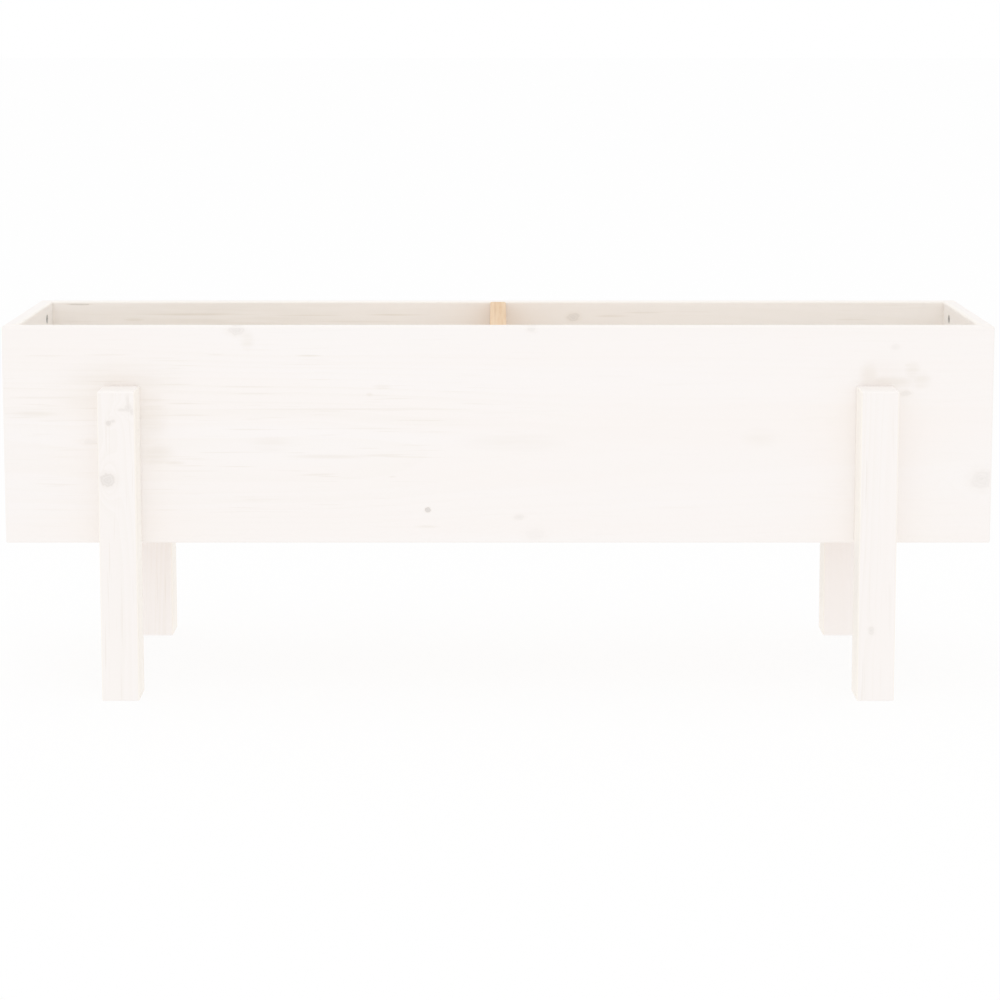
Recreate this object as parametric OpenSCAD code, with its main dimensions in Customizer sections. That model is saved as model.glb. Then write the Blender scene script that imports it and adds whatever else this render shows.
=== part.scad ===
// Raised planter: a long pine box on four legs, held together from the inside so that
// no fixing shows on its outer faces. Millimetres, +Z up, +X along the box, front at -Y.
// The origin is on the floor, under the middle of the box.

/* [Box] */
// Length of the front and back boards
box_len = 1010; // [800:10:1400]
// Depth of the box over the front and back boards
box_depth = 224; // [200:2:400]
// Height of the boards that form the box
board_h = 224; // [200:2:280]
// Thickness of the front, back and end boards
board_t = 15; // [14:1:22]
// Height of the rim above the floor
rim_h = 380; // [330:10:700]
// Radius of the planed long edges on all the pine
edge_r = 2; // [1:0.5:3]
// Width of the sanded bevel round each sawn end
end_bevel = 1.5; // [0.5:0.5:2]

/* [Legs] */
// Width of a leg along the box
leg_w = 38; // [34:1:60]
// Depth of a leg, which is how far it stands proud of the box
leg_d = 38; // [34:1:60]
// How far the top of a leg stops below the rim
leg_drop = 61; // [40:1:80]
// From the end of the box to the outer side of a leg
leg_inset = 102; // [60:1:160]

/* [Centre brace] */
// Width of the bare pine brace across the middle of the box
brace_w = 17; // [15:1:30]
// Height of the brace
brace_h = 45; // [42:1:70]

/* [Floor] */
// Width of a floor batten, out from the board that it is screwed to
batten_w = 20; // [16:1:30]
// Height of a floor batten
batten_h = 20; // [16:1:30]
// Height of the battens above the lower edge of the boards
floor_lift = 5; // [2:1:15]
// Thickness of a floor slat
slat_t = 12; // [9:1:18]
// Drainage gap between two floor slats
slat_gap = 6; // [4:0.5:10]
// Clearance round the floor slats, at their ends and at the end boards
slat_clear = 1; // [0.5:0.5:2]

/* [Cam joints] */
// Diameter of a cam
cam_d = 10; // [9.6:0.2:11]
// From the inner face of a long board to the middle of a cam
cam_set = 34; // [28:1:40]
// From the rim down to the upper cams and to the brace's cams
cam_top = 15; // [12:1:18]
// From the lower edge of the boards up to the lower cams
cam_low = 60; // [54:1:80]
// Depth of the bolts and dowels behind the face that the cams turn in
cam_depth = 7.5; // [7:0.5:8]
// How far a cam lies below the face around it
cam_sink = 0.5; // [0.2:0.1:1]
// Diameter of a cam bolt's shank
bolt_d = 6; // [5:0.5:6.5]
// Length of the cam bolt's thread in the long board
bolt_thread = 10; // [8:0.5:12]
// Diameter of a dowel
dowel_d = 8; // [6:1:9]
// Length of a dowel
dowel_len = 30; // [24:1:40]
// Length of a dowel's end in the long board
dowel_in_board = 10; // [8:1:12]
// From a cam joint to the dowel beside it, at the corners
dowel_step = 32; // [24:1:40]
// From a cam joint to the dowel below it, at the brace
brace_dowel_step = 20; // [18:1:22]

/* [Screws] */
// Shank diameter of the leg screws
leg_screw_d = 4; // [3.5:0.5:5]
// Shank diameter of the batten and slat screws
small_screw_d = 3.5; // [3:0.5:4]
// Wood left beyond the point of a leg screw
leg_cover = 8; // [4:1:12]
// Wood left beyond the point of a batten screw
batten_cover = 5; // [3:1:8]
// Wood left beyond the point of a slat screw
slat_cover = 7; // [3:1:10]
// How far a screw head lies below the wood
screw_sink = 0.3; // [0.1:0.1:0.8]
// From the floor slats up to the lowest leg screws
leg_screw_rise = 20; // [12:1:30]
// From the top of a leg down to its highest screw
leg_screw_drop = 30; // [20:1:40]
// How far the leg screws stand off the middle of the leg, by turns
leg_screw_step = 8; // [0:1:10]

/* [Hidden] */
$fn = 48;
// Clearance of a hole round its screw, bolt thread or dowel
fit = 0.05;
// Clearance of the bores round a cam and round a bolt shank
loose_fit = 0.2;
// Room beyond the end of a dowel or a cam
end_room = 0.5;
// How far a cut runs out past the face that it opens
past = 1;

// The inside of the box
inner_len = box_len - 2 * board_t;
inner_depth = box_depth - 2 * board_t;
board_z = rim_h - board_h;

// The legs
leg_h = rim_h - leg_drop;
leg_x = box_len / 2 - leg_inset - leg_w / 2;
leg_y = box_depth / 2 + leg_d / 2;

// The floor: ten slats share the inside length, with a gap between each two
slat_count = 10;
batten_z = board_z + floor_lift;
batten_len = inner_len - 2 * slat_clear;
slat_len = inner_depth - 2 * slat_clear;
slat_w = (inner_len - 2 * slat_clear - (slat_count - 1) * slat_gap) / slat_count;
slat_pitch = slat_w + slat_gap;
slat_z = batten_z + batten_h;
floor_z = slat_z + slat_t;

// The joints: the line of bolts and dowels at the end boards and at the brace
joint_x = inner_len / 2 + cam_depth;
brace_joint_x = -brace_w / 2 + cam_depth;
cam_heights = [rim_h - cam_top, board_z + cam_low];
dowel_heights = [cam_heights[0] - dowel_step, cam_heights[1] + dowel_step];
brace_dowel_z = rim_h - cam_top - brace_dowel_step;

// A cam: its room for the bolt head, its wall and base, its slot and its driver cross
neck_d = 2.6;
head_d = 4.6;
cam_play = 0.6;
cam_wall = 1.7;
cam_base = 0.8;
cam_room_r = cam_d / 2 - cam_wall;
cam_room_h = head_d + cam_play;
cam_below = cam_room_h / 2 + cam_base;
cam_h = cam_depth - cam_sink + cam_below;
cam_bore_d = cam_d + 2 * loose_fit;
cam_bore_h = cam_depth + cam_below + loose_fit;
cam_turn = 115;
cam_overturn = 20;
slot_lap = 0.4;
cross_len = 6.4;
cross_w = 1.1;
cross_deep = 2.2;

// A cam bolt: its collar stands on the long board, and its head hooks into the cam
collar_d = 7.4;
collar_h = 1.4;
tip_bevel = 1;
bolt_bore_d = collar_d + 2 * loose_fit;
neck_lead = 1;
neck_from = cam_set - cam_d / 2 - neck_lead;
neck_to = cam_set - cam_room_r + slot_lap;
head_flare = 1.4;
head_taper = 1.8;
head_mid = neck_to + head_flare;
head_end = head_mid + head_taper;

// Screws: three a leg, staggered across it so that the leg doesn't split
leg_screw_low = floor_z + leg_screw_rise;
leg_screw_high = leg_h - leg_screw_drop;
leg_screw_zs = [leg_screw_low, (leg_screw_low + leg_screw_high) / 2, leg_screw_high];
leg_screw_len = board_t + leg_d - leg_cover;
batten_screw_len = batten_w + board_t - batten_cover;
slat_screw_len = slat_t + batten_h - slat_cover;
head_rim = 0.4;
// In shank diameters: the head's diameter, the point's length and the cross recess
head_ratio = 2;
point_ratio = 1.6;
recess_len_ratio = 1.1;
recess_w_ratio = 0.24;
recess_deep_ratio = 0.4;

// Colours
PAINT = [0.95, 0.93, 0.91];
PINE = [0.90, 0.78, 0.62];
BEECH = [0.80, 0.65, 0.47];
ZINC = [0.70, 0.70, 0.69];
STEEL = [0.80, 0.76, 0.62];

SLATS = [for (i = [1:slat_count]) str("floor_slat_", i)];

// Section across the grain, with its corners rounded by the planer
module planed_section(w, t) {
    square([w, t - 2 * edge_r], center = true);
    square([w - 2 * edge_r, t], center = true);
    for (x = [-1, 1], y = [-1, 1])
        translate([x * (w / 2 - edge_r), y * (t / 2 - edge_r)]) circle(r = edge_r);
}

// Outline along the grain, with its corners cut where the sawn ends are bevelled
module sawn_outline(len, w) {
    x = len / 2;
    y = w / 2;
    b = end_bevel;
    polygon([
        [x - b, -y], [x, b - y], [x, y - b], [x - b, y],
        [b - x, y], [-x, y - b], [-x, b - y], [b - x, -y]
    ]);
}

// A planed and sawn length of pine about the origin: grain along X, width along Y
module timber(len, w, t) {
    intersection() {
        rotate([90, 0, 90]) linear_extrude(len, center = true) planed_section(w, t);
        linear_extrude(t, center = true) sawn_outline(len, w);
        rotate([90, 0, 0]) linear_extrude(w, center = true) sawn_outline(len, t);
    }
}

// Repeats: the two long sides of the box, and its four corners
module both_sides() {
    children();
    mirror([0, 1, 0]) children();
}

module both_ends() {
    children();
    mirror([1, 0, 0]) children();
}

// Half profile of a countersunk screw, head up; grow widens it into its hole
module screw_profile(d, len, grow = 0, rise = 0) {
    r = d / 2 + grow;
    head_r = head_ratio * d / 2 + grow;
    cone = head_r - r;
    polygon([
        [0, rise], [head_r, rise], [head_r, -head_rim], [r, -head_rim - cone],
        [r, point_ratio * d - len], [0, -len - grow]
    ]);
}

// A countersunk screw that points down, with its cross recess
module screw(d, len) {
    difference() {
        rotate_extrude() screw_profile(d, len);
        for (turn = [0, 90])
            rotate(turn) scale(d)
                cube([recess_len_ratio, recess_w_ratio, 2 * recess_deep_ratio], center = true);
    }
}

module screw_hole(d, len) {
    rotate_extrude() screw_profile(d, len, fit, screw_sink + past);
}

// Places of the screws, each with its head on the wood and pointing into it
module at_leg_screws() {
    for (i = [0:len(leg_screw_zs) - 1])
        translate([
            leg_x + (i % 2 == 0 ? leg_screw_step : -leg_screw_step),
            inner_depth / 2 + screw_sink,
            leg_screw_zs[i]
        ])
            rotate([90, 0, 0]) children();
}

// Under every second drainage gap, so that they miss the slat screws
module at_batten_screws() {
    for (i = [1:2:slat_count - 1])
        translate([
            slat_x(i) + slat_pitch / 2,
            inner_depth / 2 - batten_w + screw_sink,
            batten_z + batten_h / 2
        ])
            rotate([90, 0, 0]) children();
}

module at_slat_screws(i) {
    translate([slat_x(i), inner_depth / 2 - batten_w / 2, floor_z - screw_sink]) children();
}

function slat_x(i) = (i - (slat_count + 1) / 2) * slat_pitch;

// Cam of a knock-down joint, about the middle of its bolt's head. Its face is up, and
// the bolt comes from +X. The head goes in at the round port, and the neck then rides
// along the slot as the cam turns.
module cam() {
    face = cam_depth - cam_sink;
    difference() {
        translate([0, 0, -cam_below]) cylinder(d = cam_d, h = cam_h);
        translate([0, 0, -cam_room_h / 2]) cylinder(r = cam_room_r, h = cam_room_h);
        rotate([0, 0, -cam_turn]) rotate([0, 90, 0])
            cylinder(d = head_d + cam_play, h = cam_d);
        rotate([0, 0, -cam_turn])
            rotate_extrude(angle = cam_turn + cam_overturn)
                translate([cam_room_r - slot_lap, -(neck_d + cam_play) / 2])
                    square([cam_wall + past, neck_d + cam_play]);
        for (turn = [0, 90])
            translate([0, 0, face]) rotate(turn)
                cube([cross_len, cross_w, 2 * cross_deep], center = true);
    }
}

// Bolt of a cam joint: it stands on z = 0, with its thread below
module cam_bolt() {
    rotate_extrude()
        polygon([
            [0, -bolt_thread], [bolt_d / 2 - tip_bevel, -bolt_thread],
            [bolt_d / 2, tip_bevel - bolt_thread], [bolt_d / 2, 0],
            [collar_d / 2, 0], [collar_d / 2, collar_h],
            [bolt_d / 2, collar_h], [bolt_d / 2, neck_from],
            [neck_d / 2, neck_from], [neck_d / 2, neck_to],
            [head_d / 2, head_mid], [head_d / 4, head_end], [0, head_end]
        ]);
}

// Beech dowel that stands across z = 0, with its short end below
module dowel() {
    bevel = 1;
    translate([0, 0, -dowel_in_board])
        rotate_extrude()
            polygon([
                [0, 0], [dowel_d / 2 - bevel, 0], [dowel_d / 2, bevel],
                [dowel_d / 2, dowel_len - bevel],
                [dowel_d / 2 - bevel, dowel_len], [0, dowel_len]
            ]);
}

module dowel_hole() {
    translate([0, 0, -dowel_in_board - end_room])
        cylinder(d = dowel_d + 2 * fit, h = dowel_len + 2 * end_room);
}

// Bolt side of a cam joint, drilled in the long board
module bolt_thread_hole() {
    translate([0, 0, -bolt_thread - end_room])
        cylinder(d = bolt_d + 2 * fit, h = bolt_thread + end_room + past);
}

// Cam side of a cam joint: the bore for the shank, and the housing that the cam turns in
module cam_bores() {
    translate([0, 0, -past]) cylinder(d = bolt_bore_d, h = cam_set + past);
    to_cam() translate([0, 0, cam_depth - cam_bore_h])
        cylinder(d = cam_bore_d, h = cam_bore_h + past);
}

// From a bolt's seat, where it stands on the long board, to its cam
module to_cam() {
    translate([0, 0, cam_set]) rotate([0, 0, 180]) rotate([0, 90, 0]) children();
}

// Seats of the cam bolts and dowels of the back right corner, and of the brace's back
// end. Each looks out of the long board's inner face, towards the middle of the box.
module at_seat(x, z) {
    translate([x, inner_depth / 2, z]) rotate([90, 0, 0]) children();
}

module at_corner_cams() {
    for (z = cam_heights) at_seat(joint_x, z) children();
}

module at_corner_dowels() {
    for (z = dowel_heights) at_seat(joint_x, z) children();
}

module at_brace_cam() {
    at_seat(brace_joint_x, rim_h - cam_top) children();
}

module at_brace_dowel() {
    at_seat(brace_joint_x, brace_dowel_z) children();
}

// Back board; the front one is its mirror image
module long_board() {
    color(PAINT)
        difference() {
            translate([0, (box_depth - board_t) / 2, rim_h - board_h / 2])
                rotate([90, 0, 0]) timber(box_len, board_h, board_t);
            both_ends() {
                at_corner_cams() bolt_thread_hole();
                at_corner_dowels() dowel_hole();
                at_leg_screws() screw_hole(leg_screw_d, leg_screw_len);
            }
            at_brace_cam() bolt_thread_hole();
            at_brace_dowel() dowel_hole();
            at_batten_screws() screw_hole(small_screw_d, batten_screw_len);
        }
}

// Right end board, which butts between the long boards
module end_board() {
    color(PAINT)
        difference() {
            translate([(box_len - board_t) / 2, 0, rim_h - board_h / 2])
                rotate([0, 0, 90]) timber(inner_depth, board_t, board_h);
            both_sides() {
                at_corner_cams() cam_bores();
                at_corner_dowels() dowel_hole();
            }
        }
}

// Back right leg, screwed to the back board from inside the box
module leg() {
    color(PAINT)
        difference() {
            translate([leg_x, leg_y, leg_h / 2])
                rotate([0, 90, 0]) timber(leg_h, leg_d, leg_w);
            at_leg_screws() screw_hole(leg_screw_d, leg_screw_len);
        }
}

module centre_brace() {
    color(PINE)
        difference() {
            translate([0, 0, rim_h - brace_h / 2])
                rotate([0, 0, 90]) timber(inner_depth, brace_w, brace_h);
            both_sides() {
                at_brace_cam() cam_bores();
                at_brace_dowel() dowel_hole();
            }
        }
}

// Back batten, which carries the back ends of the floor slats
module floor_batten() {
    color(PINE)
        difference() {
            translate([0, (inner_depth - batten_w) / 2, batten_z + batten_h / 2])
                timber(batten_len, batten_w, batten_h);
            at_batten_screws() screw_hole(small_screw_d, batten_screw_len);
            for (i = [1:slat_count])
                at_slat_screws(i) screw_hole(small_screw_d, slat_screw_len);
        }
}

module floor_slat(i) {
    color(PAINT)
        difference() {
            translate([slat_x(i), 0, slat_z + slat_t / 2])
                rotate([0, 0, 90]) timber(slat_len, slat_w, slat_t);
            both_sides() at_slat_screws(i) screw_hole(small_screw_d, slat_screw_len);
        }
}

module corner_cams() {
    color(ZINC) both_ends() both_sides() at_corner_cams() to_cam() cam();
}

module corner_cam_bolts() {
    color(STEEL) both_ends() both_sides() at_corner_cams() cam_bolt();
}

module corner_dowels() {
    color(BEECH) both_ends() both_sides() at_corner_dowels() dowel();
}

module brace_cams() {
    color(ZINC) both_sides() at_brace_cam() to_cam() cam();
}

module brace_cam_bolts() {
    color(STEEL) both_sides() at_brace_cam() cam_bolt();
}

module brace_dowels() {
    color(BEECH) both_sides() at_brace_dowel() dowel();
}

module leg_screws() {
    color(STEEL)
        both_ends() both_sides() at_leg_screws() screw(leg_screw_d, leg_screw_len);
}

module batten_screws() {
    color(STEEL) both_sides() at_batten_screws() screw(small_screw_d, batten_screw_len);
}

module slat_screws() {
    color(STEEL)
        both_sides()
            for (i = [1:slat_count]) at_slat_screws(i) screw(small_screw_d, slat_screw_len);
}

mirror([0, 1, 0]) long_board();  // front_board
long_board();  // back_board
mirror([1, 0, 0]) end_board();  // left_end_board
end_board();  // right_end_board
mirror([1, 0, 0]) mirror([0, 1, 0]) leg();  // front_left_leg
mirror([0, 1, 0]) leg();  // front_right_leg
mirror([1, 0, 0]) leg();  // back_left_leg
leg();  // back_right_leg
centre_brace();
mirror([0, 1, 0]) floor_batten();  // front_floor_batten
floor_batten();  // back_floor_batten
for (i = [1:slat_count])
    floor_slat(i);
corner_cams();
corner_cam_bolts();
corner_dowels();
brace_cams();
brace_cam_bolts();
brace_dowels();
leg_screws();
batten_screws();
slat_screws();
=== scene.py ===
# %% [markdown]
# # A painted pine planter on four legs
#
# The planter is a long, shallow box of pine boards under a thin coat of white paint, on four square legs.
# Its construction is already modelled. Each board, leg and slat arrives as an object of its own, and so does
# each kind of fastener, in metres, standing on z = 0 with its front towards -Y. This lesson gives those
# pieces the look of the real ones, and models the small fasteners again with the threads, flutes and soft
# edges that they have.
#
# The frame is loaded first, because the pieces, their places and their sizes all come from it.

# %% Load the frame
import math
import random

import bmesh
import bpy
from mathutils import Matrix, Vector


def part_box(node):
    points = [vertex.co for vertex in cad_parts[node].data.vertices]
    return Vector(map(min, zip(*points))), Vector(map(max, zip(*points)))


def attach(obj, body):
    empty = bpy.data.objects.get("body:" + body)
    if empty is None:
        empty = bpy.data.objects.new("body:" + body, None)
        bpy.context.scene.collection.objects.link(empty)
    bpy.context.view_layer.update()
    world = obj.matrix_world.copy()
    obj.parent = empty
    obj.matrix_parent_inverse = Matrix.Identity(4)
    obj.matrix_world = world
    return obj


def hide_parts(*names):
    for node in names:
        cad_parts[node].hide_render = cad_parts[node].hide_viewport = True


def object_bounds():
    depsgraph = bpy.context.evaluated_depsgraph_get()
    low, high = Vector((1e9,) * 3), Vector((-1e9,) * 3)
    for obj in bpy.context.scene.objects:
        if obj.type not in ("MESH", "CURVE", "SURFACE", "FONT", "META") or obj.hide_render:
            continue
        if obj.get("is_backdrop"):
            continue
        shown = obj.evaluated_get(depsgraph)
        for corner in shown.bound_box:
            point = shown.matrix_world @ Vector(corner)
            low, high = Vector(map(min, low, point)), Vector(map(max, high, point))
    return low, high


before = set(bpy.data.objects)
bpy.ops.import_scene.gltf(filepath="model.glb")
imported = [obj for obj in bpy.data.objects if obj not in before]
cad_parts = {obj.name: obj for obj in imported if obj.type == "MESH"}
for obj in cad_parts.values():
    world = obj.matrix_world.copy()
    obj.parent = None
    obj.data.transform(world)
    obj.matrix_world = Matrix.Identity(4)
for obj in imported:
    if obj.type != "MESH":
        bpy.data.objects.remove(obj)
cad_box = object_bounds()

MM = 0.001
X, Y, Z = Vector((1, 0, 0)), Vector((0, 1, 0)), Vector((0, 0, 1))
scene = bpy.context.scene
print("pieces:", len(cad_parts))
print("size in mm:", [round(side / MM) for side in cad_box[1] - cad_box[0]])

# %% [markdown]
# ## The camera
#
# The photograph was taken from in front and a little above the rim, with its upright edges parallel, as a
# level camera with its lens shifted down draws them. But a camera that is moved round the planter keeps its
# shift, and with that much of it the planter would slide out of the other pictures. So the eye stands exactly
# where it stood, most of the way down is done by tilting the camera, and the shift does the rest. The upright
# edges then lean by about one degree, and every view shows the whole planter.

# %% Camera at the photograph's viewpoint
PHOTO_SIDE = 1000
MIDDLE_COLUMN = 498
FOCAL_PIXELS = 2464
SENSOR_WIDTH = 36
SHIFT_DOWN = 0.2155
EYE = Vector((0, -2.594, 0.7057))
LEVEL = math.radians(90)
TILT_DOWN = math.radians(6.5)

camera_data = bpy.data.cameras.new("camera")
camera_data.sensor_width = SENSOR_WIDTH
camera_data.lens = SENSOR_WIDTH * FOCAL_PIXELS / PHOTO_SIDE
camera_data.shift_x = (PHOTO_SIDE / 2 - MIDDLE_COLUMN) / PHOTO_SIDE
camera_data.shift_y = -SHIFT_DOWN
camera = bpy.data.objects.new("camera", camera_data)
camera.location = EYE
camera.rotation_euler = (LEVEL - TILT_DOWN, 0, 0)
scene.collection.objects.link(camera)
scene.camera = camera
print("lens in mm:", round(camera_data.lens, 2))

# %% [markdown]
# ## Helpers for node trees
#
# Every finish below is a tree of shader nodes, and a tree that is written out one socket and one link at a
# time is hard to read. With `node`, an input is either a plain value or the output that feeds it, so a tree
# reads like a sum. `maths`, `vectors`, `ramp`, `tint` and `noise` are the sums that the finishes need, and
# `glaze` lays tints over each other, as a painter does.

# %% Nodes that read like sums
def node(tree, kind, inputs=None, **settings):
    """Adds a shader node. Each of its inputs is a plain value or the socket that feeds it."""
    made = tree.nodes.new("ShaderNode" + kind)
    for name, value in settings.items():
        setattr(made, name, value)
    for socket, value in (inputs or {}).items():
        if isinstance(value, bpy.types.NodeSocket):
            tree.links.new(value, made.inputs[socket])
        else:
            made.inputs[socket].default_value = value
    return made


def maths(tree, operation, *values):
    return node(tree, "Math", dict(enumerate(values)), operation=operation).outputs[0]


def vectors(tree, operation, *values):
    made = node(tree, "VectorMath", dict(enumerate(values)), operation=operation)
    return made.outputs["Value" if operation == "LENGTH" else "Vector"]


def apart(tree, vector):
    """The three parts of a vector, as outputs X, Y and Z."""
    return node(tree, "SeparateXYZ", {"Vector": vector}).outputs


def ramp(tree, value, low, high, start=0.0, end=1.0):
    """A smooth step from start, where value is low, to end, where it is high."""
    limits = {"Value": value, "From Min": low, "From Max": high, "To Min": start, "To Max": end}
    return node(tree, "MapRange", limits, interpolation_type="SMOOTHSTEP").outputs["Result"]


def tint(tree, amount, colour, towards):
    """Mixes a colour towards another. Sockets 0, 6 and 7 are a colour mix's factor and its two colours."""
    return node(tree, "Mix", {0: amount, 6: colour, 7: towards}, data_type="RGBA").outputs[2]


def glaze(tree, colour, layers):
    """Tints a colour by one layer after another, each a mask and the colour that it brings."""
    for mask, towards in layers:
        colour = tint(tree, mask, colour, towards)
    return colour


def noise(tree, place, cells, detail=2.0, seed=0.0, gives="Fac"):
    """Noise with so many cells a metre along each axis. It gives one value, Fac, or three, Color."""
    stretched = vectors(tree, "MULTIPLY", place, cells)
    inputs = {"Vector": stretched, "W": seed, "Scale": 1.0, "Detail": detail}
    return node(tree, "TexNoise", inputs, noise_dimensions="4D").outputs[gives]


SCREEN_WHITE = 255
SRGB_FOOT = 0.055
SRGB_POWER = 2.4


def shade(*screen):
    """A screen's red, green and blue in the linear values of nodes. It is right for all but the darkest."""
    parts = [part / SCREEN_WHITE for part in screen]
    return (*[((part + SRGB_FOOT) / (1 + SRGB_FOOT)) ** SRGB_POWER for part in parts], 1)


def new_finish(name):
    """An empty material, and its node tree."""
    finish = bpy.data.materials.new(name)
    finish.use_nodes = True
    finish.node_tree.nodes.clear()
    return finish, finish.node_tree


def surface(tree, colour, roughness, height, **constants):
    """Ends a tree with a Principled BSDF. The height is in metres, so the bump needs no other scale."""
    bump = node(tree, "Bump", {"Height": height, "Distance": 1.0}).outputs[0]
    inputs = {"Base Color": colour, "Roughness": roughness, "Normal": bump, **constants}
    shader = node(tree, "BsdfPrincipled", inputs).outputs[0]
    node(tree, "OutputMaterial", {"Surface": shader})


print("a screen's mid grey in linear values:", round(shade(128, 128, 128)[0], 3))

# %% [markdown]
# ## Light
#
# White paint on a white background is lit best from everywhere at once. The world is an even white tent,
# and two wide soft lamps add a little. One stands behind the camera, at its height, from where it reaches
# what the camera sees under the box and over the rim. The other hangs overhead, and sets the tops off from
# the sides. Together they add up to about 1, so a colour renders about as it is written and nothing clips.
#
# Light Path tells the rays that look at the world, directly or in a shiny surface, from the rays that carry
# its light. The first kind sees plain white, and the second the level of the tent.

# %% A white tent and two soft lamps
TENT_LEVEL = 0.96
# Each lamp: its watts, its two sides and its place, in metres
LAMPS = {
    "front_lamp": (6, (5.0, 1.6), Vector((-0.3, -3.4, 0.8))),
    "top_lamp": (4, (3.0, 2.0), Vector((-0.4, -0.2, 3.5))),
}
PLANTER_MIDDLE = Vector((0, 0, 0.2))
WHITE = (1, 1, 1, 1)


def looks(tree):
    """1 for a ray that looks at a surface: from the camera, in a reflection or through glass."""
    rays = node(tree, "LightPath").outputs
    looking = maths(tree, "MAXIMUM", rays["Is Camera Ray"], rays["Is Glossy Ray"])
    return maths(tree, "MAXIMUM", looking, rays["Is Transmission Ray"])


scene.view_settings.view_transform = "Standard"
world = bpy.data.worlds.new("tent")
world.use_nodes = True
world.node_tree.nodes.clear()
scene.world = world
tree = world.node_tree
level = node(tree, "Mix", {"Factor": looks(tree), "A": TENT_LEVEL, "B": 1.0}).outputs[0]
tent = node(tree, "Background", {"Color": WHITE, "Strength": level}).outputs[0]
node(tree, "OutputWorld", {"Surface": tent})

for name, (watts, sides, spot) in LAMPS.items():
    lamp_data = bpy.data.lights.new(name, "AREA")
    lamp_data.energy = watts
    lamp_data.shape = "RECTANGLE"
    lamp_data.size, lamp_data.size_y = sides
    lamp = bpy.data.objects.new(name, lamp_data)
    lamp.location = spot
    lamp.rotation_euler = (PLANTER_MIDDLE - spot).to_track_quat("-Z", "Y").to_euler()
    scene.collection.objects.link(lamp)
print("tent level:", TENT_LEVEL, "lamps:", len(LAMPS))

# %% [markdown]
# ## The floor
#
# The floor is white too. It has to disappear in the picture and still catch the planter's shadow, so a ray
# that looks at it sees mostly plain white, with a share of the real, shaded floor mixed in.
#
# Under a planter on legs a common floor is dark, and so are the backs of the legs. In the photograph they are
# as light as the front, as on a light table, whose sheet of opal glass is lit from below. The floor here lets
# the tent's light through in the same way: it is hidden from the rays that carry light, but not from those
# that look. It is clear from below, so that a camera under it sees the underside of the planter. And it lies
# a hair under the feet, because two faces in one plane would flicker.

# %% A white floor that keeps a shadow
FLOOR_SIDE = 60
FLOOR_DROP = 0.1 * MM
PLAIN_WHITE_SHARE = 0.8

floor_mesh = bpy.data.meshes.new("floor")
shape = bmesh.new()
bmesh.ops.create_grid(shape, x_segments=1, y_segments=1, size=FLOOR_SIDE / 2)
bmesh.ops.translate(shape, vec=-Z * FLOOR_DROP, verts=shape.verts)
shape.to_mesh(floor_mesh)
shape.free()
floor = bpy.data.objects.new("floor", floor_mesh)
floor.visible_diffuse = False
floor.visible_shadow = False
scene.collection.objects.link(floor)
floor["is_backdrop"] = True

floor_white, tree = new_finish("floor_white")
shaded = node(tree, "BsdfDiffuse", {"Color": WHITE}).outputs[0]
plain = node(tree, "Emission", {"Color": WHITE, "Strength": 1.0}).outputs[0]
share = maths(tree, "MULTIPLY", looks(tree), PLAIN_WHITE_SHARE)
above = node(tree, "MixShader", {0: share, 1: shaded, 2: plain}).outputs[0]
clear = node(tree, "BsdfTransparent").outputs[0]
from_below = node(tree, "NewGeometry").outputs["Backfacing"]
both = node(tree, "MixShader", {0: from_below, 1: above, 2: clear}).outputs[0]
node(tree, "OutputMaterial", {"Surface": both})
floor_mesh.materials.append(floor_white)
print("floor side in m:", FLOOR_SIDE)

# %% [markdown]
# ## A place in the wood
#
# Grain runs along a board, whichever way the board points. So each finish reads Object coordinates through a
# Mapping node that stands at the piece's middle, with its X axis along the grain, its Y axis across the face
# and its Z axis out of the face. From there on one pattern serves every piece, and a knot is placed in
# millimetres along and across it, as a joiner would mark it.

# %% Coordinates along the grain
def face_axes(grain, out):
    """Rows that turn a place in the frame into one along the grain, across the face and out of it."""
    return Matrix((grain, out.cross(grain), out))


def along_grain(tree, piece, grain, out):
    """Object coordinates from the piece's middle, on its face axes."""
    low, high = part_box(piece)
    turn = face_axes(grain, out).transposed().to_euler()
    place = node(tree, "TexCoord").outputs["Object"]
    inputs = {"Vector": place, "Location": (low + high) / 2, "Rotation": turn}
    return node(tree, "Mapping", inputs, vector_type="TEXTURE").outputs[0]


def half_size(piece, grain, out):
    """Half the piece's length, width and thickness, on its face axes."""
    low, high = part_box(piece)
    return Vector([abs(side) / 2 for side in face_axes(grain, out) @ (high - low)])


print("half of the front board in mm:", half_size("front_board", X, -Y) / MM)

# %% [markdown]
# ## Shader groups
#
# What more than one finish needs is a node group: it is built once, and each finish places it with values
# of its own. Its sockets are made on its interface, and its inside is wired from its input node to its output
# node.
#
# Two kinds of values come again and again. A ramp, such as CORE_RIM, is 0 at its first number and 1 at its
# second, or goes from a third to a fourth. Cells, such as RAGGED_CELLS, tell how many a noise has in a metre
# along, across and through the wood.

# %% Making a group
ORIGIN = (0, 0, 0)


def new_group(name, takes, gives):
    """A group with named sockets. Returns its tree, what comes in, and the sockets for its results."""
    tree = bpy.data.node_groups.new(name, "ShaderNodeTree")
    for socket, value in takes.items():
        kind = "NodeSocketVector" if isinstance(value, tuple) else "NodeSocketFloat"
        tree.interface.new_socket(socket, in_out="INPUT", socket_type=kind).default_value = value
    for socket in gives:
        tree.interface.new_socket(socket, in_out="OUTPUT", socket_type="NodeSocketFloat")
    return tree, tree.nodes.new("NodeGroupInput").outputs, tree.nodes.new("NodeGroupOutput").inputs


def group(tree, kind, inputs):
    """Places a group in a finish, with its own values, and returns its outputs."""
    return node(tree, "Group", inputs, node_tree=kind).outputs


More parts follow.
